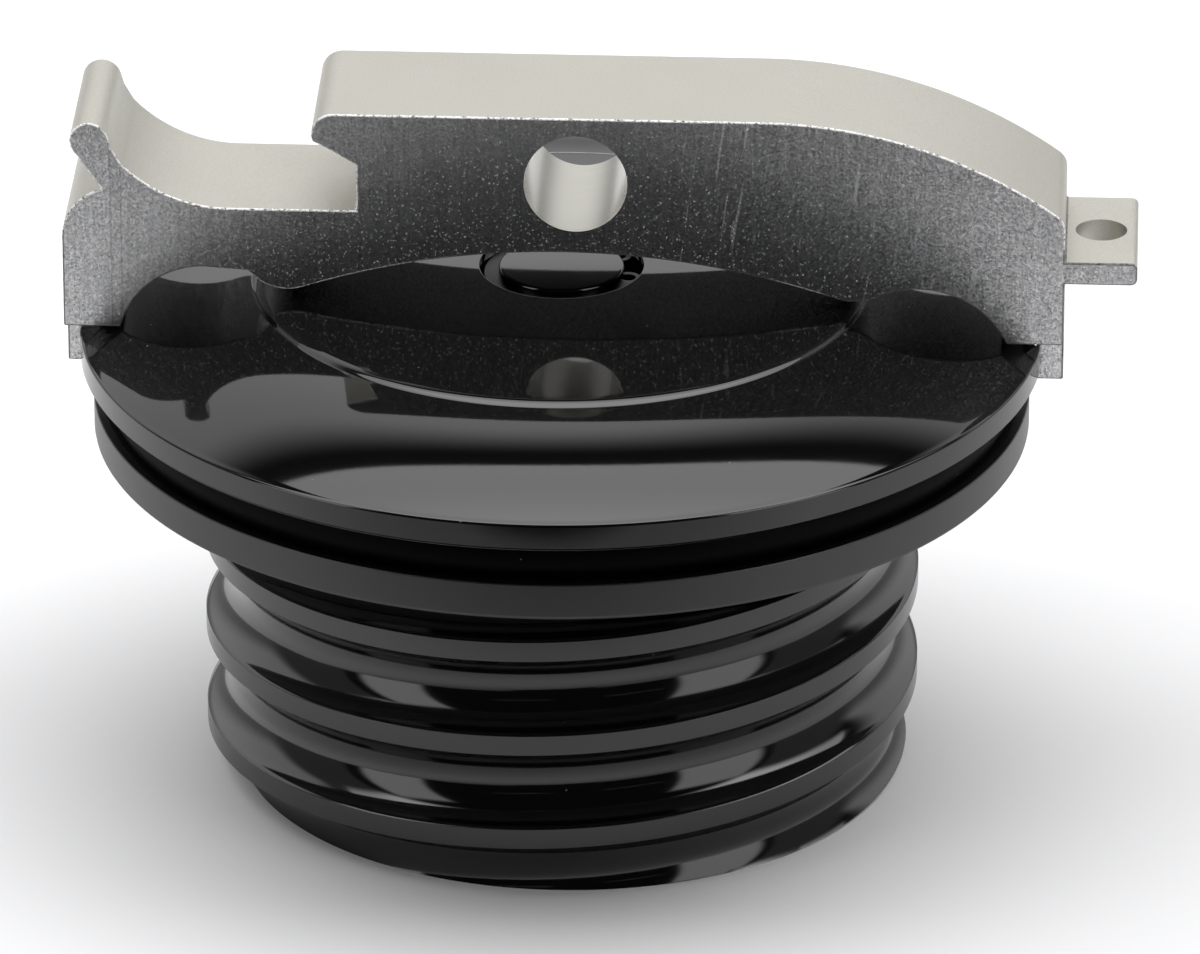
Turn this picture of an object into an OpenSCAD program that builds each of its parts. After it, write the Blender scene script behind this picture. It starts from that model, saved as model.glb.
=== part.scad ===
// Flush mount screw cap with a carrying key lying across it.
// Millimetres. +Z is up along the screw axis, +X runs along the key towards its ring tab.
// Z = 0 is the top face of the seating flange.

/* [Cap] */
// Radius of the domed top disc
disc_r = 37.5; // [30:0.5:50]
// Height of the disc's straight rim
disc_rim_h = 2.25; // [1.2:0.05:4]
// Height of the dome above the rim at the ring edge
shoulder_h = 3.75; // [2:0.05:6]
// Further rise of the dome from the ring edge to the middle
crown_h = 0.9; // [0.2:0.1:2]
// Distance of the ring edge from the rim
skirt_w = 13.35; // [10:0.05:16]
// Height of the step at the ring edge
ring_step = 0.3; // [0.1:0.05:0.8]

/* [Plug] */
// How much smaller the seating flange is than the disc
flange_inset = 1; // [0.5:0.1:2]
// Thickness of the seating flange
flange_h = 3; // [2:0.1:6]
// Gap between the flange and the disc, filled by the seal
seal_gap = 3.25; // [2:0.05:6]
// Width of the seal's section
seal_w = 4.7; // [3:0.1:8]
// Length of the plug below the seating flange
plug_h = 28.3; // [20:0.1:50]
// Wall between the thread grooves and the hollow underside
wall_t = 5.4; // [2:0.1:8]
// Thickness of the web above the hollow
web_h = 9.5; // [7:0.5:15]

/* [Thread] */
// Radius over the thread crests
thread_r = 28; // [22:0.5:29]
// Pitch of the right-hand thread
pitch = 8; // [5:0.25:10]
// Width of the flat thread crest
crest_w = 1.7; // [0.8:0.1:3]
// Depth of the rounded groove
groove_d = 2.6; // [1:0.1:3]
// Depth of the crest at the front below the seating flange's top face
crest_drop = 9.8; // [4:0.1:14]

/* [Post] */
// Radius of the post that carries the disc
post_r = 4.9; // [3:0.1:8]
// Width of the counterbore round the post
counterbore_w = 1.5; // [1.2:0.1:3]
// Depth of the counterbore below the crown
counterbore_d = 1.65; // [1.4:0.05:3]
// Thickness of the circlip
clip_h = 1; // [0.6:0.1:1.2]
// Radius of the two drive pins
pin_r = 2; // [1:0.5:3]
// Distance of the drive pins from the screw axis
pin_place_r = 13; // [10:0.5:18]

/* [Key] */
// How far each end of the key stands out past the disc
key_overhang = 1.2; // [0.8:0.1:3]
// Depth of the key from front to back
key_w = 12.7; // [8:0.1:18]
// Height of the finger grip above the disc's rim
grip_h = 19.65; // [17.5:0.05:26]
// Height of the bed between the horn and the grip above the disc's rim
bed_h = 11.6; // [10:0.1:13]
// Distance that the key lies off centre in its notches
key_shift = 0.4; // [0:0.1:0.5]
// Radius of the lever hole
lever_hole_r = 4; // [3:0.5:4.5]
// Radius of the ring hole in the tab
ring_hole_r = 2; // [1:0.25:2.2]
// Length of the ring tab
tab_l = 5.6; // [5:0.1:9]
// Thickness of the ring tab
tab_h = 1.85; // [1.2:0.05:3]

/* [Hidden] */
$fn = 96;
eps = 0.01;
edge_break = 0.25;
flange_break = 0.4;
disc_z = seal_gap;
rim_z = disc_z + disc_rim_h;
crown_z = rim_z + shoulder_h + crown_h;

// dome: a flat crown arc inside the ring edge and a tight skirt arc outside it
ring_r = disc_r - skirt_w;
crown_arc_r = (ring_r * ring_r + crown_h * crown_h) / (2 * crown_h);
crown_slope = asin(ring_r / crown_arc_r);
skirt_run = skirt_w - edge_break;
skirt_drop = shoulder_h - ring_step;
skirt_slope = 2 * atan(skirt_drop / skirt_run) - crown_slope;
skirt_arc_r = skirt_run / (sin(skirt_slope) - sin(crown_slope));
skirt_mid_x = ring_r - skirt_arc_r * sin(crown_slope);
skirt_mid_z = rim_z + skirt_drop - skirt_arc_r * cos(crown_slope);
dome_steps = 16;

// ends of the key, and their tongues in the disc's notches
half_l = disc_r + key_overhang;
tongue_t = 2.1;
tongue_w = key_w / 2;
tongue_drop = 2.95;
notch_play = 0.3;
notch_r = half_l - tongue_t - key_shift - notch_play;

// post, circlip and drive pins
post_z = crown_z - 0.05;
post_play = 0.05;
clip_z = crown_z - counterbore_d;
clip_groove_r = post_r - 0.4;
clip_groove_h = clip_h + 0.05;
clip_in_r = clip_groove_r + 0.05;
clip_out_r = post_r + counterbore_w - 0.4;
clip_gap = 46;
clip_mid = 13;
clip_wedge_l = 20;
lug_r = 1;
lug_place_r = post_r + counterbore_w - 0.1 - lug_r;
lug_hole_r = 0.6;
hollow_top_z = disc_z - web_h;
pin_floor = 2.95;
pin_low_z = hollow_top_z + pin_floor;
pin_top_z = disc_z + 3.5;
pin_end_play = 0.3;

// plug and seal
seal_bulge = 0.5;
seal_r = notch_r - 0.1;
landing_r = seal_r - seal_w;
flange_r = disc_r - flange_inset;
plug_z = -flange_h - plug_h;
root_r = thread_r - groove_d;
hollow_r = root_r - wall_t;
blank_r = thread_r + 0.5;
relief_w = 0.6;
relief_d = 0.5;
relief_r = thread_r + relief_w;
relief_z = -flange_h + relief_d;
end_chamfer = 1.5;
mouth_chamfer = 1;

// thread: columns go round, rows go up, and one turn climbs one pitch
columns = 72;
groove_steps = 7;
groove_half = (pitch - crest_w) / 2;
groove_arc_r = (groove_half * groove_half + groove_d * groove_d) / (2 * groove_d);
groove_angle = asin(groove_half / groove_arc_r);
groove_mid_r = root_r + groove_arc_r;
row_count = groove_steps + 1;
turn_count = ceil((plug_h + flange_h) / pitch) + 3;
thread_low_z = -crest_drop - pitch * (turn_count - 2);

// key, with heights above the disc's rim; its feet rest where the dome is highest under their inner edges
foot_w = 4.4;
foot_in_x = half_l - foot_w;
foot_h = skirt_at(foot_in_x - key_shift) - rim_z;
horn_tip = [-half_l + 2.2, bed_h + 5.4];
horn_tip_r = 1.5;
horn_notch = [-half_l + 3.1, bed_h + 1.45];
horn_neck = [-half_l + 3.9, bed_h + 4.9];
shoulder_r = 4.2;
shoulder_mid = [-half_l + shoulder_r, bed_h - 2.65];
bed_arc_r = 11.3;
bed_arc_mid = [-half_l + 12.9, bed_h + bed_arc_r];
wall_x = -half_l + 22.8;
lip_r = 1.7;
lip_mid = [wall_x - 1.75, grip_h - lip_r];
lip_foot = [wall_x - 1.65, grip_h - 3.2];
wall_top = [wall_x, grip_h - 4.25];
crown_r = 39;
crown_mid = [half_l - 23.45, grip_h - crown_r];
corner_r = 1.6;
corner_x = half_l - corner_r;
corner_z = crown_mid[1] + sqrt(pow(crown_r - corner_r, 2) - pow(corner_x - crown_mid[0], 2));
corner_angle = atan2(corner_z - crown_mid[1], corner_x - crown_mid[0]);
lobe_play = 0.75;
lobe_low = crown_at(ring_r - 3) - rim_z + lobe_play;
lobe_r = 3.8;
mid_arch_top = lobe_low + 3.7;
left_arch_r = 6.8;
left_arch = arch_mid(left_arch_r, lobe_low + 1.9);
left_lobe = [half_l - 17.4, lobe_low + 0.15 + lobe_r];
left_lobe_end = 323;
right_arch_r = 7.6;
right_arch = arch_mid(right_arch_r, lobe_low + 1.15);
right_lobe_z = lobe_low + lobe_r;
right_lobe_reach = sqrt(pow(lobe_r + right_arch_r, 2) - pow(right_lobe_z - right_arch[1], 2));
right_lobe = [right_arch[0] - right_lobe_reach, right_lobe_z];
right_lobe_end = 360 - acos(right_lobe_reach / (lobe_r + right_arch_r));
lever_hole = [1, (mid_arch_top + grip_h) / 2 + 0.2];
tab_low_h = 6.55;
tab_hole_x = half_l + tab_l / 2 - 0.05;
tab_corner_r = 0.5;
arc_steps = 12;

// heights of the two dome arcs at a distance from the axis
function crown_at(r) = crown_z - crown_arc_r + sqrt(crown_arc_r * crown_arc_r - r * r);
function skirt_at(r) = skirt_mid_z + sqrt(skirt_arc_r * skirt_arc_r - pow(r - skirt_mid_x, 2));

// middle of a side arch of a given radius and top that comes down on a foot's inner edge
function arch_mid(r, top) = [foot_in_x - sqrt(r * r - pow(foot_h - top + r, 2)), top - r];

module dome_profile() {
    polygon([
        [0, disc_z],
        [disc_r - edge_break, disc_z],
        [disc_r, disc_z + edge_break],
        [disc_r, rim_z - edge_break],
        for (i = [dome_steps : -1 : 0])
            let (a = crown_slope + (skirt_slope - crown_slope) * i / dome_steps)
            [skirt_mid_x + skirt_arc_r * sin(a), skirt_mid_z + skirt_arc_r * cos(a)],
        [ring_r - ring_step, crown_at(ring_r - ring_step)],
        for (i = [dome_steps - 1 : -1 : 0])
            let (r = (ring_r - ring_step) * i / dome_steps)
            [r, crown_at(r)]
    ]);
}

module drive_pin_places() {
    for (side = [-1, 1])
        translate([0, side * pin_place_r, 0])
            children();
}

module cap_disc() {
    color([0.03, 0.03, 0.035])
    difference() {
        rotate_extrude()
            dome_profile();
        translate([0, 0, disc_z - 1])
            cylinder(r = post_r + post_play, h = crown_z);
        translate([0, 0, clip_z])
            cylinder(r = post_r + counterbore_w, h = crown_z);
        drive_pin_places()
            translate([0, 0, disc_z - 1])
                cylinder(r = pin_r, h = pin_top_z + pin_end_play - disc_z + 1);
        for (side = [-1, 1])
            translate([side > 0 ? notch_r : -notch_r - disc_r, -tongue_w / 2 - notch_play, disc_z - 1])
                cube([disc_r, tongue_w + 2 * notch_play, crown_z]);
    }
}

// one turn of the thread outline: distances below the next crest and their radii
function groove_t(k) = pitch / 2 + groove_arc_r * sin(groove_angle * (2 * k / groove_steps - 1));
function groove_radius(k) = groove_mid_r - groove_arc_r * cos(groove_angle * (2 * k / groove_steps - 1));

module thread_body() {
    rows = turn_count * row_count;
    places = [
        for (j = [0 : rows])
            for (i = [0 : columns - 1])
                let (
                    turn = floor(j / row_count),
                    k = j - turn * row_count,
                    a = 360 * i / columns,
                    z = thread_low_z + pitch * (turn + i / columns) + groove_t(k),
                    r = groove_radius(k)
                )
                [r * cos(a - 90), r * sin(a - 90), z]
    ];
    low = len(places);
    high = low + 1;
    middle_low = [0, 0, thread_low_z - pitch];
    middle_high = [0, 0, thread_low_z + pitch * (turn_count + 2)];
    // the place that follows column i on row j, one turn up where the columns close
    function at(i, j) = i < columns ? j * columns + i : (j + row_count) * columns + i - columns;
    last = rows - row_count;
    sides = [
        for (j = [0 : last - 1])
            for (i = [0 : columns - 1])
                each [
                    [at(i, j), at(i, j + 1), at(i + 1, j + 1)],
                    [at(i, j), at(i + 1, j + 1), at(i + 1, j)]
                ]
    ];
    low_cap = [
        for (i = [0 : columns - 1]) [low, at(i, 0), at(i + 1, 0)],
        for (j = [row_count : -1 : 1]) [low, at(0, j), at(0, j - 1)]
    ];
    high_cap = [
        for (i = [0 : columns - 1]) [high, at(i + 1, last), at(i, last)],
        for (j = [last : last + row_count - 1]) [high, at(0, j), at(0, j + 1)]
    ];
    polyhedron(points = concat(places, [middle_low, middle_high]), faces = concat(sides, low_cap, high_cap));
}

module thread_blank() {
    rotate_extrude()
        polygon([
            [0, plug_z],
            [thread_r - end_chamfer, plug_z],
            [blank_r, plug_z + end_chamfer + blank_r - thread_r],
            [blank_r, relief_z + eps],
            [0, relief_z + eps]
        ]);
}

module plug_head() {
    // the underside is relieved round the thread, so the flange seats flat
    rotate_extrude()
        polygon([
            [0, relief_z],
            [relief_r, relief_z],
            [relief_r, -flange_h],
            [flange_r - flange_break, -flange_h],
            [flange_r, -flange_h + flange_break],
            [flange_r, 0],
            [landing_r, 0],
            [landing_r, disc_z],
            [post_r, disc_z],
            [post_r, clip_z],
            [clip_groove_r, clip_z],
            [clip_groove_r, clip_z + clip_groove_h],
            [post_r, clip_z + clip_groove_h],
            [post_r, post_z - edge_break],
            [post_r - edge_break, post_z],
            [0, post_z]
        ]);
}

module threaded_plug() {
    color([0.03, 0.03, 0.035])
    difference() {
        union() {
            plug_head();
            intersection() {
                thread_body();
                thread_blank();
            }
        }
        translate([0, 0, plug_z - 1])
            cylinder(r = hollow_r, h = hollow_top_z - plug_z + 1);
        translate([0, 0, plug_z - eps])
            cylinder(r1 = hollow_r + mouth_chamfer, r2 = hollow_r, h = mouth_chamfer);
        drive_pin_places()
            translate([0, 0, pin_low_z])
                cylinder(r = pin_r, h = disc_z - pin_low_z + 1);
    }
}

module seal_ring() {
    bulge_r = (seal_gap * seal_gap / 4 + seal_bulge * seal_bulge) / (2 * seal_bulge);
    bulge_angle = asin(seal_gap / 2 / bulge_r);
    color([0.05, 0.05, 0.05])
    rotate_extrude()
        polygon([
            [landing_r, 0],
            for (i = [-arc_steps : arc_steps])
                let (a = bulge_angle * i / arc_steps)
                [seal_r - bulge_r + bulge_r * cos(a), seal_gap / 2 + bulge_r * sin(a)],
            [landing_r, seal_gap]
        ]);
}

module circlip() {
    color([0.12, 0.12, 0.12])
    translate([0, 0, clip_z])
    difference() {
        union() {
            difference() {
                cylinder(r = clip_out_r, h = clip_h);
                rotate([0, 0, clip_mid])
                    linear_extrude(3 * clip_h, center = true)
                        polygon([
                            [0, 0],
                            [clip_wedge_l, -clip_wedge_l * tan(clip_gap / 2)],
                            [clip_wedge_l, clip_wedge_l * tan(clip_gap / 2)]
                        ]);
            }
            for (side = [-1, 1])
                rotate([0, 0, clip_mid + side * clip_gap / 2])
                    translate([lug_place_r, 0, 0])
                        cylinder(r = lug_r, h = clip_h);
        }
        translate([0, 0, -1])
            cylinder(r = clip_in_r, h = clip_h + 2);
        for (side = [-1, 1])
            rotate([0, 0, clip_mid + side * clip_gap / 2])
                translate([lug_place_r, 0, -1])
                    cylinder(r = lug_hole_r, h = clip_h + 2);
    }
}

module drive_pins() {
    color([0.7, 0.7, 0.72])
    drive_pin_places()
        translate([0, 0, pin_low_z])
            cylinder(r = pin_r, h = pin_top_z - pin_low_z);
}

function arc(mid, r, from, to, steps = arc_steps) = [
    for (i = [0 : steps])
        let (a = from + (to - from) * i / steps)
        [mid[0] + r * cos(a), mid[1] + r * sin(a)]
];

// half of the key's underside, from its middle to a foot's inner edge: the middle arch runs into a lobe,
// and the side arch is taken up where the lobe ends
function underside(lobe, lobe_end, arch, arch_r, arch_start) =
    let (
        rise = lobe[1] - mid_arch_top,
        r = (pow(lobe[0], 2) + rise * rise - lobe_r * lobe_r) / (2 * (lobe_r - rise)),
        meet = atan2(rise + r, lobe[0])
    )
    [
        each arc([0, mid_arch_top - r], r, 90, meet),
        each arc(lobe, lobe_r, 180 + meet, lobe_end),
        each arc(arch, arch_r, arch_start, asin((foot_h - arch[1]) / arch_r))
    ];

module key_outline() {
    left = underside(left_lobe, left_lobe_end, left_arch, left_arch_r, 90);
    right = underside(right_lobe, right_lobe_end, right_arch, right_arch_r, right_lobe_end - 180);
    mirrored = [for (i = [len(left) - 1 : -1 : 1]) [-left[i][0], left[i][1]]];
    polygon([
        [-half_l, foot_h],
        each mirrored,
        each right,
        [half_l, foot_h],
        [half_l, tab_low_h],
        each arc([half_l + tab_l - tab_corner_r, tab_low_h + tab_corner_r], tab_corner_r, 270, 360, 4),
        each arc([half_l + tab_l - tab_corner_r, tab_low_h + tab_h - tab_corner_r], tab_corner_r, 0, 90, 4),
        [half_l, tab_low_h + tab_h],
        each arc([corner_x, corner_z], corner_r, 0, corner_angle, 6),
        each arc(crown_mid, crown_r, corner_angle, 90),
        each arc(lip_mid, lip_r, 90, 200),
        lip_foot,
        wall_top,
        [wall_x, bed_h],
        each arc(bed_arc_mid, bed_arc_r, 270, 223),
        horn_neck,
        each arc(horn_tip, horn_tip_r, 15, 213),
        horn_notch,
        each arc(shoulder_mid, shoulder_r, 105, 180)
    ]);
}

module key_bar() {
    color([0.8, 0.79, 0.76])
    translate([key_shift, 0, rim_z])
    difference() {
        union() {
            rotate([90, 0, 0])
                linear_extrude(key_w, center = true)
                    key_outline();
            for (side = [-1, 1])
                translate([side > 0 ? half_l - tongue_t : -half_l, -tongue_w / 2, -tongue_drop])
                    cube([tongue_t, tongue_w, tongue_drop + foot_h + 1]);
        }
        translate([lever_hole[0], 0, lever_hole[1]])
            rotate([90, 0, 0])
                cylinder(r = lever_hole_r, h = key_w + 2, center = true);
        translate([tab_hole_x, 0, 0])
            cylinder(r = ring_hole_r, h = grip_h);
    }
}

cap_disc();
threaded_plug();
seal_ring();
circlip();
drive_pins();
key_bar();
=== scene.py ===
"""Looks of a flush mount screw cap with the key that turns it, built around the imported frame."""

import math

import bmesh
import bpy
from mathutils import Matrix, Vector


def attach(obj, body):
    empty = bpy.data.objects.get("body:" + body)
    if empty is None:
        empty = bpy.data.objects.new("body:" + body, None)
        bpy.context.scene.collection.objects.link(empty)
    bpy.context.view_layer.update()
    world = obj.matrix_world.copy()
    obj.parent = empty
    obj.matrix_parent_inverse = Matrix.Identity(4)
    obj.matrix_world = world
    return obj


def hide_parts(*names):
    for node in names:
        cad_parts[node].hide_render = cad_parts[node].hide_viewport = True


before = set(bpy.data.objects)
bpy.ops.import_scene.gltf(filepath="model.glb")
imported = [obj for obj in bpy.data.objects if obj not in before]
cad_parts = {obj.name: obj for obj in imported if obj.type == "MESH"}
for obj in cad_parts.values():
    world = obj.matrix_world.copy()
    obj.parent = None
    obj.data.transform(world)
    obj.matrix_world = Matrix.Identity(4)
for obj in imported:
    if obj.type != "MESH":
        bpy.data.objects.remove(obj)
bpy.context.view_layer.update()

MM = 0.001
BODY = "root"

# Sizes in millimetres, as in the part's source
DISC_R = 37.5
DISC_Z = 3.25
RIM_Z = DISC_Z + 2.25
SHOULDER_H = 3.75
CROWN_H = 0.9
CROWN_Z = RIM_Z + SHOULDER_H + CROWN_H
RING_R = DISC_R - 13.35
RING_STEP = 0.3
EDGE = 0.25

POST_R = 4.9
POST_PLAY = 0.05
POST_Z = CROWN_Z - 0.05
COUNTERBORE_R = POST_R + 1.5
CLIP_Z = CROWN_Z - 1.65
CLIP_H = 1.0
CLIP_IN_R = POST_R - 0.35
CLIP_OUT_R = COUNTERBORE_R - 0.4
CLIP_GAP = 46
CLIP_MID = 13
LUG_R = 1.0
LUG_HOLE_R = 0.6
LUG_PLACE_R = COUNTERBORE_R - 0.1 - LUG_R

FLANGE_R = DISC_R - 1
FLANGE_H = 3.0
PLUG_Z = -FLANGE_H - 28.3
THREAD_R = 28.0
PITCH = 8.0
CREST_W = 1.7
GROOVE_D = 2.6
CREST_DROP = 9.8
END_CHAMFER = 1.5
MOUTH_CHAMFER = 1.0
RELIEF_R = THREAD_R + 0.6
RELIEF_Z = -FLANGE_H + 0.5
HOLLOW_R = THREAD_R - GROOVE_D - 5.4
HOLLOW_TOP_Z = DISC_Z - 9.5
HOLLOW_CORNER_R = 0.5

KEY_W = 12.7
KEY_SHIFT = 0.4
HALF_L = DISC_R + 1.2
TONGUE_W = KEY_W / 2
TONGUE_T = 2.1
TONGUE_DROP = 2.95
TONGUE_ROOT = 2.7
NOTCH_PLAY = 0.3
NOTCH_R = HALF_L - TONGUE_T - KEY_SHIFT - NOTCH_PLAY
SEAL_R = NOTCH_R - 0.1
SEAL_BULGE = 0.5
LANDING_R = SEAL_R - 4.7
LEVER_HOLE = (1.0 + KEY_SHIFT, 19.73)
LEVER_HOLE_R = 4.0
RING_HOLE_X = HALF_L + 2.75 + KEY_SHIFT
RING_HOLE_R = 2.0

# Heights on the key above the disc's rim, in millimetres
BED_H = 11.6
GRIP_H = 19.65
TAB_LOW, TAB_HIGH = 6.55, 8.4
TAB_L = 5.6
FOOT_H = 1.384
FOOT_IN_X = HALF_L - 4.4
LOBE_LOW = 4.71
LOBE_R = 3.8
MID_ARCH_TOP = LOBE_LOW + 3.7

# Edges and fine forms that only the looks have
POST_EDGE = 0.25
FLANGE_EDGE = 0.12
FLANGE_FOOT_EDGE = 0.4
CREST_EDGE = 0.06
CLIP_EDGE = 0.08
KEY_EDGE = 0.14
BORE_LIP = 0.02

# How many flat strips go round a turned piece
COLUMNS = 288

# Points of a mesh that end up nearer than this after a cut, in millimetres, become one
SLIVER = 0.002

# How steeply the ring's edge falls, in degrees, at distances outwards from where it leaves the crown
RING_FLANK = (
    (0, 0), (0.03, 9), (0.25, 11.5), (0.3, 14), (0.38, 15.5), (0.42, 20), (0.6, 36), (0.8, 20), (0.85, 0),
)
RING_FLANK_W = RING_FLANK[-1][0]

# Where the key's sides have dark saw marks, along X in millimetres
SAW_MARKS = (-34.5, -33.7, -28.3, -24.2)

# The photo's view, fitted to the outlines in it
CAMERA_PLACE = (43.954, -849.204, 393.102)
CAMERA_AIM = (2.986, 0, -8.129)
CAMERA_LENS = 360


# Meshes

def arc(mid, r, start, end, steps=16):
    """Points on a circle's arc, angles in degrees."""
    angles = [math.radians(start + (end - start) * i / steps) for i in range(steps + 1)]
    return [(mid[0] + r * math.cos(a), mid[1] + r * math.sin(a)) for a in angles]


def rounded(corners, steps=4):
    """A closed outline whose corners (x, y, radius) are turned into small arcs."""
    points = []
    for i, corner in enumerate(corners):
        here = Vector(corner[:2])
        radius = corner[2] if len(corner) > 2 else 0
        if not radius:
            points.append(tuple(here))
            continue
        back = (Vector(corners[i - 1][:2]) - here).normalized()
        ahead = (Vector(corners[(i + 1) % len(corners)][:2]) - here).normalized()
        half = back.angle(ahead) / 2
        reach = radius / math.tan(half)
        mid = here + (back + ahead).normalized() * radius / math.sin(half)
        start = here + back * reach - mid
        sweep = start.angle_signed(here + ahead * reach - mid)
        for k in range(steps + 1):
            turn = Matrix.Rotation(-sweep * k / steps, 2)
            points.append(tuple(mid + turn @ start))
    return points


def piece(name, places, faces, sharp=40):
    """A closed mesh from places in millimetres, smooth apart from edges sharper than the angle."""
    mesh = bpy.data.meshes.new(name)
    mesh.from_pydata([Vector(p) * MM for p in places], [], faces)
    body = bmesh.new()
    body.from_mesh(mesh)
    bmesh.ops.remove_doubles(body, verts=body.verts, dist=1e-7)
    bmesh.ops.dissolve_degenerate(body, edges=body.edges, dist=1e-8)
    bmesh.ops.recalc_face_normals(body, faces=body.faces)
    body.to_mesh(mesh)
    body.free()
    thing = bpy.data.objects.new(name, mesh)
    bpy.context.scene.collection.objects.link(thing)
    smooth(thing, sharp)
    return thing


def smooth(thing, sharp):
    """Smooth shading that leaves flat faces flat, with the edges sharper than the angle kept."""
    mesh = thing.data
    mesh.polygons.foreach_set("use_smooth", [True] * len(mesh.polygons))
    mesh.set_sharp_from_angle(angle=math.radians(sharp))
    weigh = thing.modifiers.new("normals", "WEIGHTED_NORMAL")
    weigh.keep_sharp = True
    freeze(thing)


def turned(name, outline, sharp=40):
    """A closed outline of (radius, height) points turned round the screw axis."""
    count = len(outline)
    places = []
    for i in range(COLUMNS):
        a = 2 * math.pi * i / COLUMNS
        places += [(r * math.cos(a), r * math.sin(a), z) for r, z in outline]
    faces = []
    for i in range(COLUMNS):
        here, after = i * count, (i + 1) % COLUMNS * count
        for j in range(count):
            k = (j + 1) % count
            if outline[j][0] or outline[k][0]:
                faces.append((here + j, after + j, after + k, here + k))
    return piece(name, places, faces, sharp)


def extruded(name, outline, low, high, place):
    """An outline in a plane, carried from low to high; place(x, y, depth) gives the point in space."""
    count = len(outline)
    places = [place(x, y, d) for d in (low, high) for x, y in outline]
    faces = [tuple(range(count)), tuple(range(2 * count - 1, count - 1, -1))]
    faces += [(j, (j + 1) % count, (j + 1) % count + count, j + count) for j in range(count)]
    return piece(name, places, faces, 30)


def upright(x, y, d):
    """For an outline seen from above, carried along Z."""
    return (x, y, d)


def across(x, z, d):
    """For an outline seen from the front, carried along Y."""
    return (x, d, z)


def rod(name, x, y, z, r, half_length, place, steps=96):
    """A round rod about (x, y) of its plane, its middle at the depth z."""
    outline = arc((x, y), r, 0, 360 - 360 / steps, steps - 1)
    return extruded(name, outline, z - half_length, z + half_length, place)


def box_piece(name, low, high):
    corners = [(low[0], low[1]), (high[0], low[1]), (high[0], high[1]), (low[0], high[1])]
    return extruded(name, corners, low[2], high[2], upright)


def drop_slivers(mesh, size):
    """Clears away edges and faces that are too small to see."""
    body = bmesh.new()
    body.from_mesh(mesh)
    bmesh.ops.remove_doubles(body, verts=body.verts, dist=size)
    bmesh.ops.dissolve_degenerate(body, edges=body.edges, dist=size / 2)
    body.to_mesh(mesh)
    body.free()


def combine(thing, others, operation):
    """Joins or cuts with other closed meshes, which are then gone."""
    for other in others:
        step = thing.modifiers.new("combine", "BOOLEAN")
        step.operation = operation
        step.solver = "EXACT"
        step.object = other
    freeze(thing)
    for other in others:
        bpy.data.objects.remove(other)
    drop_slivers(thing.data, SLIVER * MM)


def freeze(thing):
    """Turns a piece's modifiers into its mesh."""
    bpy.context.view_layer.update()
    shaped = thing.evaluated_get(bpy.context.evaluated_depsgraph_get())
    mesh = bpy.data.meshes.new_from_object(shaped)
    thing.modifiers.clear()
    thing.data = mesh


# Finishes

class Wire:
    """A socket that takes part in Python expressions."""

    def __init__(self, shading, socket):
        self.shading = shading
        self.socket = socket

    def maths(self, operation, *values):
        return self.shading.node("ShaderNodeMath", {"operation": operation}, dict(enumerate(values)))

    def __add__(self, other):
        return self.maths("ADD", self, other)

    __radd__ = __add__

    def __sub__(self, other):
        return self.maths("SUBTRACT", self, other)

    def __rsub__(self, other):
        return self.maths("SUBTRACT", other, self)

    def __mul__(self, other):
        return self.maths("MULTIPLY", self, other)

    __rmul__ = __mul__

    def __abs__(self):
        return self.maths("ABSOLUTE", self)

    def most(self, other):
        return self.maths("MAXIMUM", self, other)

    def rise(self, low, high):
        """0 below low, 1 above high and a smooth step between."""
        return self.shading.node(
            "ShaderNodeMapRange",
            {"interpolation_type": "SMOOTHSTEP"},
            {"Value": self, "From Min": low, "From Max": high},
        )

    def fall(self, low, high):
        """1 below low, 0 above high and a smooth step between."""
        return 1 - self.rise(low, high)


class Shading:
    """A node tree that is written as expressions."""

    def __init__(self, tree):
        self.tree = tree
        tree.nodes.clear()

    def node(self, kind, settings, inputs, output=0):
        new = self.tree.nodes.new(kind)
        for name, value in settings.items():
            setattr(new, name, value)
        for key, value in inputs.items():
            self.feed(new.inputs[key], value)
        return Wire(self, new.outputs[output]) if new.outputs else None

    def feed(self, socket, value):
        if isinstance(value, Wire):
            self.tree.links.new(value.socket, socket)
        elif value is not None:
            socket.default_value = value

    def place(self, x=1.0, y=1.0, z=1.0):
        """The place on the object in millimetres, stretched along the three axes."""
        spot = self.node("ShaderNodeTexCoord", {}, {}, "Object")
        return self.vector("MULTIPLY", spot, (x / MM, y / MM, z / MM))

    def noise(self, at, scale, detail=2.0, roughness=0.5):
        inputs = {"Vector": at, "Scale": scale, "Detail": detail, "Roughness": roughness}
        return self.node("ShaderNodeTexNoise", {}, inputs, "Fac")

    def cells(self, at, scale, output="Distance"):
        return self.node("ShaderNodeTexVoronoi", {"feature": "F1"}, {"Vector": at, "Scale": scale}, output)

    def vector(self, operation, one, other):
        """Vector maths on two vectors, or a vector scaled by a number."""
        second = "Scale" if operation == "SCALE" else 1
        return self.node("ShaderNodeVectorMath", {"operation": operation}, {0: one, second: other})

    def parts(self, vector):
        split = self.node("ShaderNodeSeparateXYZ", {}, {0: vector})
        return [Wire(self, socket) for socket in split.socket.node.outputs]

    def mix(self, factor, one, other):
        """Between two colours."""
        return self.node("ShaderNodeMix", {"data_type": "RGBA"}, {0: factor, 6: one, 7: other}, 2)

    def bump(self, height, distance, strength=1.0, normal=None):
        inputs = {"Height": height, "Distance": distance * MM, "Strength": strength, "Normal": normal}
        return self.node("ShaderNodeBump", {}, inputs)

    def light_path(self, ray):
        return self.node("ShaderNodeLightPath", {}, {}, ray)


def finish(name, constants):
    """A new material with its constant shader values, and its node tree as expressions."""
    material = bpy.data.materials.new(name)
    material.use_nodes = True
    shading = Shading(material.node_tree)
    shader = shading.node("ShaderNodeBsdfPrincipled", {}, constants)
    shading.node("ShaderNodeOutputMaterial", {}, {"Surface": shader})
    shading.shader = shader.socket.node
    shading.material = material
    return shading


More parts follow.
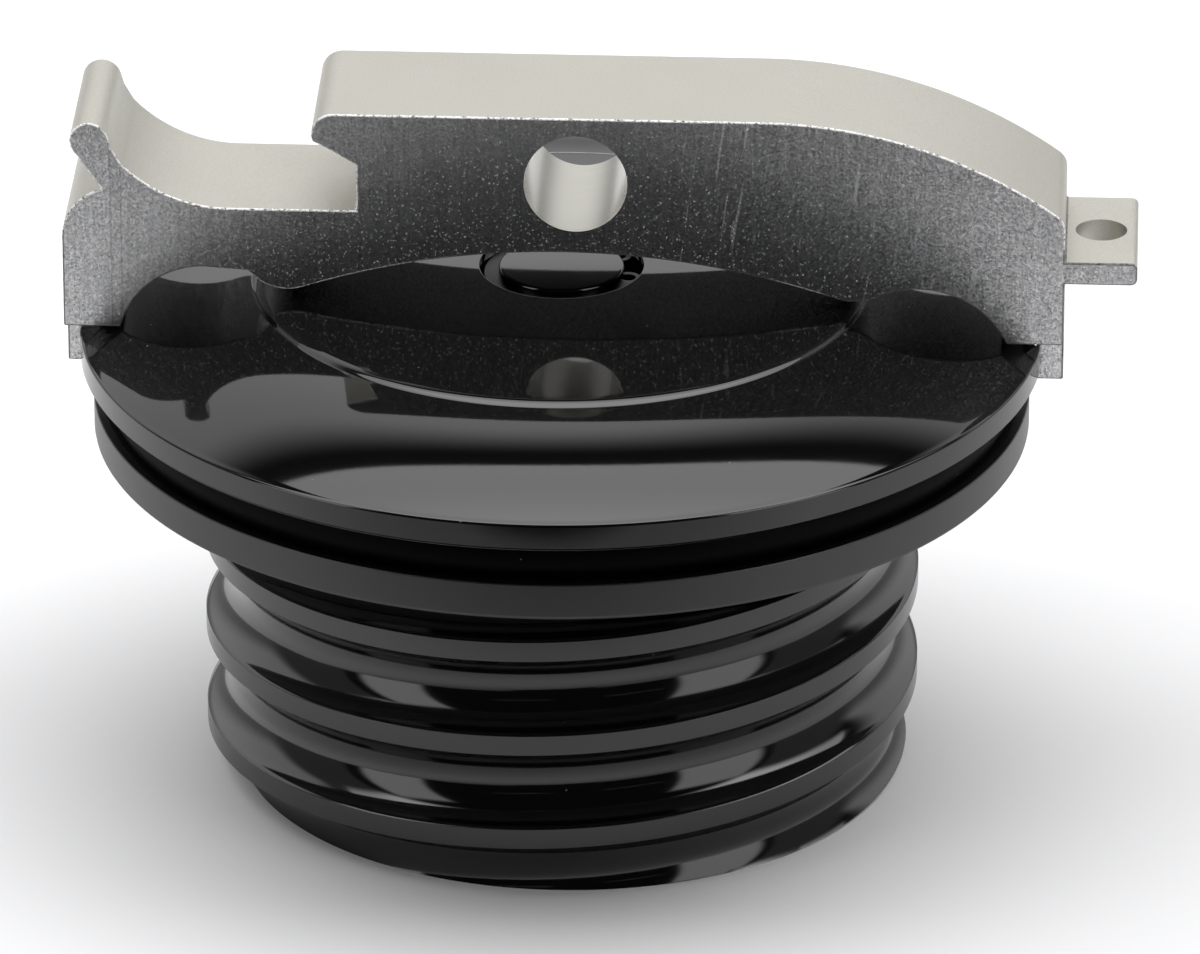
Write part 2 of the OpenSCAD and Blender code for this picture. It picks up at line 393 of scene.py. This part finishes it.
def set_shader(shading, **inputs):
    """Feeds the shader's sockets, whose names have spaces here as underscores. Gives the material."""
    for name, value in inputs.items():
        shading.feed(shading.shader.inputs[name.replace("_", " ")], value)
    return shading.material


def grey(value):
    return (value, value, value, 1)


ANODISED = (0.0022, 0.0022, 0.0024, 1)
DUST = grey(0.12)


def dust(look, density, share):
    """A few pale specks: which places hold one, from 0 to 1."""
    speck = look.cells(look.place(), density).fall(0.03, 0.07)
    chosen = look.parts(look.cells(look.place(), density, output="Color"))[0].rise(share, share + 0.01)
    return speck * chosen


def black_gloss():
    look = finish("black_gloss", {"IOR": 1.6})
    cloud = look.noise(look.place(), 0.25, 3)
    specks = dust(look, 0.7, 0.93)
    height = look.noise(look.place(), 1.2, 3)
    return set_shader(
        look,
        Base_Color=look.mix(specks, ANODISED, DUST),
        Roughness=0.035 + cloud * 0.03 + specks * 0.4,
        Normal=look.bump(height, 0.0006),
    )


def black_turned():
    """Gloss black with the fine rings that a lathe leaves, duller on the flange's rim and the crests."""
    look = finish("black_turned", {"IOR": 1.6})
    cloud = look.noise(look.place(), 0.3, 3)
    rings = look.noise(look.place(0.004, 0.004, 1.0), 7.0, 3, 0.7)
    specks = dust(look, 0.6, 0.93)
    x, y, z = look.parts(look.place())
    r_squared = x * x + y * y
    rim = r_squared.rise((FLANGE_R - 1) ** 2, (FLANGE_R - 0.5) ** 2)
    crests = r_squared.rise((THREAD_R - 0.15) ** 2, (THREAD_R - 0.03) ** 2) * z.fall(-FLANGE_H, RELIEF_Z)
    return set_shader(
        look,
        Base_Color=look.mix(specks, ANODISED, DUST),
        Roughness=0.05 + cloud * 0.03 + rings * 0.04 + specks * 0.4 + (rim * 0.3 + crests * 0.15),
        Normal=look.bump(rings, 0.0012),
    )


def seal_rubber():
    look = finish("seal_rubber", {"IOR": 1.12})
    grain = look.noise(look.place(), 5.0, 3)
    specks = dust(look, 0.8, 0.93)
    return set_shader(
        look,
        Base_Color=look.mix(specks, grey(0.001), grey(0.15)),
        Roughness=0.4 + grain * 0.2,
        Normal=look.bump(grain, 0.01),
    )


def spring_steel():
    look = finish("dark_spring_steel", {"Metallic": 1.0})
    grain = look.noise(look.place(), 4.0, 3)
    return set_shader(
        look,
        Base_Color=look.mix(grain, (0.02, 0.02, 0.022, 1), grey(0.06)),
        Roughness=0.3 + grain * 0.15,
        Normal=look.bump(grain, 0.004),
    )


def pin_steel():
    look = finish("pin_steel", {"Metallic": 1.0})
    rings = look.noise(look.place(0.1, 0.1, 1.0), 8.0, 3)
    return set_shader(
        look,
        Base_Color=look.mix(rings, grey(0.5), grey(0.62)),
        Roughness=0.2 + rings * 0.15,
        Normal=look.bump(rings, 0.003),
    )


def tumbled_aluminium():
    """The key's top, with the soft grain of a tumbled surface."""
    look = finish("tumbled_aluminium", {"Metallic": 1.0})
    cloud = look.noise(look.place(), 0.15, 3)
    grain = look.noise(look.place(1.0, 0.7, 1.0), 7.0, 4, 0.8)
    tone = cloud * 0.3 + grain.rise(0.3, 0.7) * 0.7
    return set_shader(
        look,
        Base_Color=look.mix(tone, (0.475, 0.463, 0.418, 1), (0.605, 0.592, 0.536, 1)),
        Roughness=0.38 + grain * 0.12,
        Normal=look.bump(grain, 0.012),
    )


def sawn_aluminium():
    """The key's sides and the faces under its arches: grain whose facets glint, faint streaks, leaning
    scratches, dark saw marks, and painted shade on faces that look downwards.
    """
    look = finish("sawn_aluminium", {"Metallic": 1.0})
    grain = look.noise(look.place(), 4.5, 4, 0.8)
    streaks = look.noise(look.place(1.0, 1.0, 0.03), 4.0, 3, 0.6)
    facets = look.cells(look.place(), 9.0, output="Color")
    shade, _, pick = look.parts(facets)
    chosen = pick.rise(0.92, 0.96)
    tilt = look.vector("SUBTRACT", facets, (0.5, 0.5, 0.5))
    tilt = look.vector("SCALE", tilt, 0.13 + chosen * 0.25)
    flat = look.node("ShaderNodeNewGeometry", {}, {}, "Normal")
    # Painted shade: faces that look downwards get a darker colour.
    under = (0 - look.parts(flat)[2]).rise(0.05, 0.3)
    x = look.parts(look.place())[0]
    marks = 0
    for mark_x in SAW_MARKS:
        marks = marks + abs(x - mark_x).fall(0.03, 0.1)
    lean = {"Vector": look.place(), "Angle": -0.13}
    lean = look.node("ShaderNodeVectorRotate", {"rotation_type": "Y_AXIS"}, lean)
    scratch = look.noise(look.vector("MULTIPLY", lean, (1, 1, 0.04)), 3.2, 1).rise(0.68, 0.74)
    scratch = scratch * x.rise(2, 8) * x.fall(24, 32)
    tone = (grain * 0.75 + streaks * 0.25).rise(0.35, 0.65) * 0.7 + shade * 0.3
    tone = tone * (1 - marks * 0.6) * (1 - under) + scratch * 0.5
    return set_shader(
        look,
        Base_Color=look.mix(tone, (0.4, 0.4, 0.405, 1), (0.95, 0.95, 0.955, 1)),
        Roughness=0.34 + chosen * 0.2 + scratch * 0.15,
        Normal=look.bump(grain * 0.7 + streaks * 0.3, 0.003, 1.0, look.vector("ADD", flat, tilt)),
    )


def drilled_aluminium():
    """The lever hole's wall, with the rings of the drill."""
    look = finish("drilled_aluminium", {"Metallic": 1.0})
    rings = look.noise(look.place(0.05, 1.0, 0.05), 5.0, 3, 0.7)
    return set_shader(
        look,
        Base_Color=look.mix(rings, (0.46, 0.452, 0.412, 1), (0.56, 0.55, 0.505, 1)),
        Roughness=0.2 + rings * 0.1,
        Normal=look.bump(rings, 0.004),
    )


def burr_and_highlight_aluminium():
    """Torn metal along the key's edges, with a painted highlight: pale above, and in a few stretches below.
    """
    look = finish("burr_and_highlight_aluminium", {"Metallic": 0.3})
    nicks = look.noise(look.place(), 3.0, 4, 0.8)
    x, _, z = look.parts(look.place())
    # Painted highlight: the edges are painted pale along the top and in a few stretches below, dark
    # elsewhere.
    stretch = x.rise(-25, -22) * x.fall(-13, -7) + x.rise(16, 17.5) * x.fall(20, 21)
    share = z.rise(14.5, 15.5) * 0.8 + stretch * z.fall(14, 14.5) * 0.9 + 0.2
    return set_shader(
        look,
        Base_Color=look.mix(nicks.rise(0.36, 0.54) * share, grey(0.06), (1, 1, 0.99, 1)),
        Roughness=0.5 + nicks * 0.2,
        Normal=look.bump(nicks, 0.05),
    )


GLOSS = black_gloss()
TURNED = black_turned()
TUMBLED = tumbled_aluminium()
SAWN = sawn_aluminium()
BURR_AND_HIGHLIGHT = burr_and_highlight_aluminium()
DRILLED = drilled_aluminium()


def show(thing, node, slot, *materials):
    """Puts a piece in place of its CAD node, with its finish."""
    if not thing.data.materials:
        for material in materials:
            thing.data.materials.append(material)
    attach(thing, BODY)
    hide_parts(node)


# Pieces

def ring_slope(w):
    """Degrees at a distance outwards from where the ring's edge leaves the crown."""
    for (near, low), (far, high) in zip(RING_FLANK, RING_FLANK[1:]):
        if w <= far:
            return low + (high - low) * (w - near) / (far - near)
    return 0


def dome_outline():
    """The disc's section from the underside at the post hole, round the rim, to the counterbore."""
    crown_arc_r = (RING_R ** 2 + CROWN_H ** 2) / (2 * CROWN_H)
    crown_slope = math.asin(RING_R / crown_arc_r)
    run = DISC_R - EDGE - RING_R
    drop = SHOULDER_H - RING_STEP
    skirt_slope = 2 * math.atan(drop / run) - crown_slope
    skirt_r = run / (math.sin(skirt_slope) - math.sin(crown_slope))
    skirt_mid = (RING_R - skirt_r * math.sin(crown_slope), RIM_Z + drop - skirt_r * math.cos(crown_slope))
    skirt = arc(skirt_mid, skirt_r, 90 - math.degrees(skirt_slope), 90 - math.degrees(crown_slope), 40)
    crown_mid_z = CROWN_Z - crown_arc_r

    def crown(r):
        return crown_mid_z + math.sqrt(crown_arc_r ** 2 - r ** 2)

    flank_steps = 34
    flank_step = RING_FLANK_W / flank_steps
    ring_in = RING_R - RING_FLANK_W
    outline = [(POST_R + POST_PLAY, DISC_Z), (DISC_R - EDGE, DISC_Z), (DISC_R, DISC_Z + EDGE)]
    outline += arc((DISC_R - EDGE, RIM_Z - EDGE), EDGE, 0, 60, 5)
    outline += skirt
    drops = [0]
    for k in range(flank_steps):
        drops.append(drops[-1] + math.tan(math.radians(ring_slope((k + 0.5) * flank_step))))
    step_down = skirt[-1][1] - crown(RING_R)
    for k in range(flank_steps - 1, 0, -1):
        r = ring_in + flank_step * k
        outline.append((r, crown(r) + step_down * drops[k] / drops[-1]))
    steps = 30
    bore_edge = COUNTERBORE_R + BORE_LIP
    crown_w = ring_in - bore_edge - BORE_LIP * 2
    radii = [ring_in - crown_w * k / steps for k in range(steps + 1)]
    return outline + [
        *((r, crown(r)) for r in radii),
        (bore_edge, crown(bore_edge)),
        (COUNTERBORE_R, crown(COUNTERBORE_R) - BORE_LIP),
        (COUNTERBORE_R, CLIP_Z),
        (POST_R + POST_PLAY, CLIP_Z),
    ]


def make_disc():
    disc = turned("domed_disc", dome_outline(), 50)
    half_w = TONGUE_W / 2 + NOTCH_PLAY
    cutters = [
        box_piece("notch", (low_x, -half_w, 0), (low_x + DISC_R, half_w, CROWN_Z + 4))
        for low_x in (-NOTCH_R - DISC_R, NOTCH_R)
    ]
    combine(disc, cutters, "DIFFERENCE")
    smooth(disc, 35)
    show(disc, "cap_disc", "black_anodised", GLOSS)


def thread_turn():
    """One turn of the thread's section from a crest's middle upwards: heights and radii."""
    half_crest = CREST_W / 2
    soft = CREST_EDGE
    half_groove = (PITCH - CREST_W) / 2
    groove_r = (half_groove ** 2 + GROOVE_D ** 2) / (2 * GROOVE_D)
    reach = math.asin(half_groove / groove_r)
    mid_r = THREAD_R - GROOVE_D + groove_r
    turn = [(0, THREAD_R), (half_crest - soft, THREAD_R), (half_crest - soft * 0.3, THREAD_R - soft * 0.3)]
    steps = 22
    for k in range(1, steps):
        a = reach * (2 * k / steps - 1)
        turn.append((PITCH / 2 + groove_r * math.sin(a), mid_r - groove_r * math.cos(a)))
    return turn + [
        (PITCH - half_crest + soft * 0.3, THREAD_R - soft * 0.3),
        (PITCH - half_crest + soft, THREAD_R),
    ]


def thread_body(top_z):
    """A closed helical body that reaches above top_z. Its rows climb one pitch in a turn."""
    turn = thread_turn()
    per_turn = len(turn)
    turns = math.ceil((top_z - PLUG_Z) / PITCH) + 4
    low_z = -CREST_DROP - PITCH * (turns - 2)
    rows = turns * per_turn + 1
    places = []
    for j in range(rows):
        whole, k = divmod(j, per_turn)
        for i in range(COLUMNS):
            a = 2 * math.pi * i / COLUMNS - math.pi / 2
            t, r = turn[k]
            places.append((r * math.cos(a), r * math.sin(a), low_z + PITCH * (whole + i / COLUMNS) + t))
    low, high = len(places), len(places) + 1
    places += [(0, 0, low_z - PITCH), (0, 0, low_z + PITCH * (turns + 2))]
    last = rows - 1 - per_turn

    def at(i, j):
        """The place in column i of row j. Past the last column the helix is one turn further up."""
        return j * COLUMNS + i if i < COLUMNS else (j + per_turn) * COLUMNS

    faces = [
        (at(i, j), at(i + 1, j), at(i + 1, j + 1), at(i, j + 1))
        for j in range(last)
        for i in range(COLUMNS)
    ]
    faces += [(low, at(i + 1, 0), at(i, 0)) for i in range(COLUMNS)]
    faces += [(low, at(0, j), at(0, j + 1)) for j in range(per_turn)]
    faces += [(high, at(i, last), at(i + 1, last)) for i in range(COLUMNS)]
    faces += [(high, at(0, j + 1), at(0, j)) for j in range(last, last + per_turn)]
    return piece("thread", places, faces)


def make_plug():
    plug = thread_body(RELIEF_Z)
    spare = 0.5
    overlap = 0.2
    blank = turned("blank", [
        (0, PLUG_Z),
        (THREAD_R - END_CHAMFER, PLUG_Z),
        (THREAD_R + spare, PLUG_Z + END_CHAMFER + spare),
        (THREAD_R + spare, RELIEF_Z + overlap),
        (0, RELIEF_Z + overlap),
    ])
    combine(plug, [blank], "INTERSECT")
    head = turned("head", [
        (0, RELIEF_Z),
        (RELIEF_R, RELIEF_Z),
        *rounded([
            (RELIEF_R, -FLANGE_H),
            (FLANGE_R, -FLANGE_H, FLANGE_FOOT_EDGE),
            (FLANGE_R, 0, FLANGE_EDGE),
            (LANDING_R, 0),
            (LANDING_R, DISC_Z),
            (POST_R, DISC_Z),
            (POST_R, POST_Z, POST_EDGE),
            (0, POST_Z),
        ]),
    ])
    combine(plug, [head], "UNION")
    below = 2
    corner_r = HOLLOW_CORNER_R
    hollow = turned("hollow", [
        (0, PLUG_Z - below),
        (HOLLOW_R + MOUTH_CHAMFER + below, PLUG_Z - below),
        (HOLLOW_R, PLUG_Z + MOUTH_CHAMFER),
        *arc((HOLLOW_R - corner_r, HOLLOW_TOP_Z - corner_r), corner_r, 0, 90, 4),
        (0, HOLLOW_TOP_Z),
    ])
    combine(plug, [hollow], "DIFFERENCE")
    smooth(plug, 35)
    show(plug, "threaded_plug", "black_plug", TURNED)


def make_seal():
    bulge_r = (DISC_Z ** 2 / 4 + SEAL_BULGE ** 2) / (2 * SEAL_BULGE)
    angle = math.degrees(math.asin(DISC_Z / 2 / bulge_r))
    outline = [(LANDING_R, 0)]
    outline += arc((SEAL_R - bulge_r, DISC_Z / 2), bulge_r, -angle, angle)
    outline += [(LANDING_R, DISC_Z)]
    show(turned("seal", outline), "seal_ring", "seal_rubber", seal_rubber())


def make_circlip():
    opening = CLIP_MID + CLIP_GAP / 2
    closing = CLIP_MID - CLIP_GAP / 2 + 360
    outline = arc((0, 0), CLIP_OUT_R, opening, closing, 96) + arc((0, 0), CLIP_IN_R, closing, opening, 96)
    clip = extruded("snap_ring", outline, CLIP_Z, CLIP_Z + CLIP_H, upright)
    lugs, holes = [], []
    for a in (opening, closing):
        x = LUG_PLACE_R * math.cos(math.radians(a))
        y = LUG_PLACE_R * math.sin(math.radians(a))
        lugs.append(rod("lug", x, y, CLIP_Z + CLIP_H / 2, LUG_R, CLIP_H / 2, upright, 40))
        holes.append(rod("hole", x, y, CLIP_Z + CLIP_H / 2, LUG_HOLE_R, CLIP_H, upright, 32))
    combine(clip, lugs, "UNION")
    combine(clip, holes, "DIFFERENCE")
    inside = rod("inside", 0, 0, CLIP_Z, CLIP_IN_R, CLIP_H * 2, upright)
    combine(clip, [inside], "DIFFERENCE")
    edge = clip.modifiers.new("edge", "BEVEL")
    edge.width = CLIP_EDGE * MM
    edge.segments = 2
    freeze(clip)
    smooth(clip, 40)
    show(clip, "circlip", "dark_spring_steel", spring_steel())


def arch_mid(r, top):
    """Middle of a side arch that comes down on a foot's inner edge."""
    return (FOOT_IN_X - math.sqrt(r ** 2 - (FOOT_H - top + r) ** 2), top - r)


def underside(lobe, lobe_end, arch, arch_r, arch_start):
    """Half of the key's underside: the middle arch, a lobe, and the side arch down to a foot."""
    rise = lobe[1] - MID_ARCH_TOP
    r = (lobe[0] ** 2 + rise ** 2 - LOBE_R ** 2) / (2 * (LOBE_R - rise))
    meet = math.degrees(math.atan2(rise + r, lobe[0]))
    outline = arc((0, MID_ARCH_TOP - r), r, 90, meet, 32)
    outline += arc(lobe, LOBE_R, 180 + meet, lobe_end)
    return outline + arc(arch, arch_r, arch_start, math.degrees(math.asin((FOOT_H - arch[1]) / arch_r)), 24)


def key_underside():
    """The whole underside, from the left foot to the right foot."""
    left_r, right_r = 6.8, 7.6
    left_arch = arch_mid(left_r, LOBE_LOW + 1.9)
    left_lobe = (HALF_L - 17.4, LOBE_LOW + 0.15 + LOBE_R)
    left = underside(left_lobe, 323, left_arch, left_r, 90)
    right_arch = arch_mid(right_r, LOBE_LOW + 1.15)
    lobe_z = LOBE_LOW + LOBE_R
    reach = math.sqrt((LOBE_R + right_r) ** 2 - (lobe_z - right_arch[1]) ** 2)
    lobe_end = 360 - math.degrees(math.acos(reach / (LOBE_R + right_r)))
    right = underside((right_arch[0] - reach, lobe_z), lobe_end, right_arch, right_r, lobe_end - 180)
    return [(-HALF_L, FOOT_H)] + [(-x, z) for x, z in left[:0:-1]] + right + [(HALF_L, FOOT_H)]


def key_tab():
    """The thin tab for a split ring, which stands out at the right-hand end."""
    corner_r = 0.5
    corner_x = HALF_L + TAB_L - corner_r
    outline = [(HALF_L, TAB_LOW)]
    outline += arc((corner_x, TAB_LOW + corner_r), corner_r, 270, 360, 5)
    outline += arc((corner_x, TAB_HIGH - corner_r), corner_r, 0, 90, 5)
    return outline + [(HALF_L, TAB_HIGH)]


def key_grip():
    """The top from the right-hand end to the lip that hangs over the bed."""
    wall_x = -HALF_L + 22.8
    corner_r, crown_r, lip_r = 1.6, 39, 1.7
    crown_mid = (HALF_L - 23.45, GRIP_H - crown_r)
    corner_x = HALF_L - corner_r
    corner_z = crown_mid[1] + math.sqrt((crown_r - corner_r) ** 2 - (corner_x - crown_mid[0]) ** 2)
    corner_a = math.degrees(math.atan2(corner_z - crown_mid[1], corner_x - crown_mid[0]))
    lip_mid = (wall_x - 1.75, GRIP_H - lip_r)
    lip_foot = (wall_x - 1.65, GRIP_H - 3.2)
    wall_top = (wall_x, GRIP_H - 4.25)
    outline = arc((corner_x, corner_z), corner_r, 0, corner_a, 8)
    outline += arc(crown_mid, crown_r, corner_a, 90, 32)
    outline += arc(lip_mid, lip_r, 90, 200, 14)
    return outline + [lip_foot, wall_top, (wall_x, BED_H)]


def key_horn():
    """The bed's curve, the horn with its tip, and the shoulder down to the left-hand end."""
    bed_r, tip_r, shoulder_r = 11.3, 1.5, 4.2
    bed_mid = (-HALF_L + 12.9, BED_H + bed_r)
    neck = (-HALF_L + 3.9, BED_H + 4.9)
    tip_mid = (-HALF_L + 2.2, BED_H + 5.4)
    notch = (-HALF_L + 3.1, BED_H + 1.45)
    shoulder_mid = (-HALF_L + shoulder_r, BED_H - 2.65)
    outline = arc(bed_mid, bed_r, 270, 223, 24) + [neck]
    outline += arc(tip_mid, tip_r, 15, 213, 16) + [notch]
    return outline + arc(shoulder_mid, shoulder_r, 105, 180, 12)


def key_outline():
    outline = key_underside() + key_tab() + key_grip() + key_horn()
    return [(x + KEY_SHIFT, z + RIM_Z) for x, z in outline]


def make_key():
    key = extruded("carrying_key", key_outline(), -KEY_W / 2, KEY_W / 2, across)
    tongues = []
    for side in (-1, 1):
        low_x = (HALF_L - TONGUE_T if side > 0 else -HALF_L) + KEY_SHIFT
        low = (low_x, -TONGUE_W / 2, RIM_Z - TONGUE_DROP)
        high = (low_x + TONGUE_T, TONGUE_W / 2, RIM_Z + TONGUE_ROOT)
        tongues.append(box_piece("tongue", low, high))
    combine(key, tongues, "UNION")
    finishes = [TUMBLED, SAWN, BURR_AND_HIGHLIGHT, DRILLED]
    for material in finishes:
        key.data.materials.append(material)
    arches_top = (RIM_Z + MID_ARCH_TOP + 1) * MM
    for face in key.data.polygons:
        # Faces under the arches take the sawn finish, which paints them darker as painted shade.
        under = face.normal.z < -0.1 and face.center.z < arches_top
        face.material_index = finishes.index(SAWN if abs(face.normal.y) > 0.9 or under else TUMBLED)
    # Bevelled edges get the burr finish, with its painted highlight.
    edge = key.modifiers.new("edge", "BEVEL")
    edge.width = KEY_EDGE * MM
    edge.segments = 2
    edge.angle_limit = math.radians(50)
    edge.material = finishes.index(BURR_AND_HIGHLIGHT)
    edge.use_clamp_overlap = False
    freeze(key)
    lever_hole = rod("lever_hole", *LEVER_HOLE, 0, LEVER_HOLE_R, KEY_W, across, 128)
    for face in lever_hole.data.polygons:
        face.material_index = finishes.index(DRILLED)
    ring_hole = rod("ring_hole", RING_HOLE_X, 0, RIM_Z + TAB_LOW, RING_HOLE_R, TAB_L, upright, 64)
    combine(key, [lever_hole, ring_hole], "DIFFERENCE")
    smooth(key, 35)
    show(key, "key_bar", "bare_aluminium")


# The studio

def make_camera():
    data = bpy.data.cameras.new("camera")
    data.lens = CAMERA_LENS
    data.sensor_width = 36
    data.clip_end = 10
    camera = bpy.data.objects.new("camera", data)
    camera.location = Vector(CAMERA_PLACE) * MM
    aim = Vector(CAMERA_AIM) * MM - camera.location
    camera.rotation_euler = aim.to_track_quat("-Z", "Y").to_euler()
    bpy.context.scene.collection.objects.link(camera)
    bpy.context.scene.camera = camera


def make_floor():
    """A pale sheet, painted darker in front and towards the right as painted shade. Glossy things see it
    end in front, and the picture sees it glow, more towards the back, so that it turns white behind.
    """
    reach = 3000
    thick = 10
    floor = box_piece("floor", (-reach, -reach, PLUG_Z - thick), (reach, reach, PLUG_Z))
    look = finish("pale_floor", {"Roughness": 0.9, "Emission Strength": 1.0})
    x, y, _ = look.parts(look.place())
    # Painted shade: the floor's colour darkens in front and towards the right, and glossy parts see it in
    # their reflections too.
    shade = y.fall(-120, -40).most(x.rise(-40, 160) * 0.3)
    seen = y.rise(-117, -108).most(abs(x).rise(24, 38) * y.rise(-155, -145))
    # A glow that only the picture sees, stronger towards the back.
    whiter = look.light_path("Is Camera Ray") * (0.015 + 0.15 * y.rise(0, 110))
    floor.data.materials.append(set_shader(
        look,
        Base_Color=look.mix(shade, (0.80, 0.80, 0.81, 1), (0.34, 0.34, 0.345, 1)),
        Emission_Color=look.mix(whiter, grey(0), grey(1)),
        Alpha=1 - look.light_path("Is Glossy Ray") * (1 - seen),
    ))


def make_world():
    """A soft studio: a bright backdrop, a dark gap, a soft box overhead and two windows in front.

    In degrees, pitch climbs from 0 at the backdrop's foot over the top to the front, turn goes round
    from 0 at the front, and height is above the horizon.
    """
    world = bpy.data.worlds.new("studio")
    bpy.context.scene.world = world
    world.use_nodes = True
    sky = Shading(world.node_tree)
    x, y, z = sky.parts(sky.node("ShaderNodeTexCoord", {}, {}, "Generated"))
    degrees = 180 / math.pi
    pitch = x.maths("ARCTAN2", z, y) * degrees
    turn = x.maths("ARCTAN2", x, 0 - y) * degrees
    height = x.maths("ARCSINE", z) * degrees
    side = abs(turn)
    to_left = (0 - x).most(0)
    bend = pitch - 50 * to_left * to_left
    backdrop = bend.fall(42, 53) * side.rise(106, 118) * (0.4 + 0.78 * height.rise(4, 24))
    overhead = bend.rise(56.4, 57.2) * pitch.fall(100, 110) * abs(x).fall(0.62, 0.76)
    overhead = overhead * (2.35 + 1.7 * bend.rise(60, 90))
    windows = turn.rise(-72, -68) * turn.fall(-48, -45) + turn.rise(40, 43) * turn.fall(70, 74)
    windows = windows * height.rise(-20, -8) * height.fall(42, 50) * 1.8
    dim = side.rise(75, 79) * side.fall(106, 118) * 0.2
    gaps = turn.rise(-23, -22.5) * turn.fall(-3.5, -3) + turn.rise(15, 15.5) * turn.fall(35.5, 36)
    slit = abs(height - 18).fall(0.2, 0.45) * gaps * 0.6
    light = 0.015 + backdrop + overhead + windows + dim + slit
    camera = sky.light_path("Is Camera Ray")
    strength = light * (1 - camera) + camera
    background = sky.node("ShaderNodeBackground", {}, {"Color": grey(1), "Strength": strength})
    sky.node("ShaderNodeOutputWorld", {}, {"Surface": background})


make_camera()
make_floor()
make_world()
make_disc()
make_plug()
make_seal()
make_circlip()
make_key()
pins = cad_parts["drive_pins"].data.materials
pins.clear()
pins.append(pin_steel())

bpy.context.scene.view_settings.view_transform = "Standard"
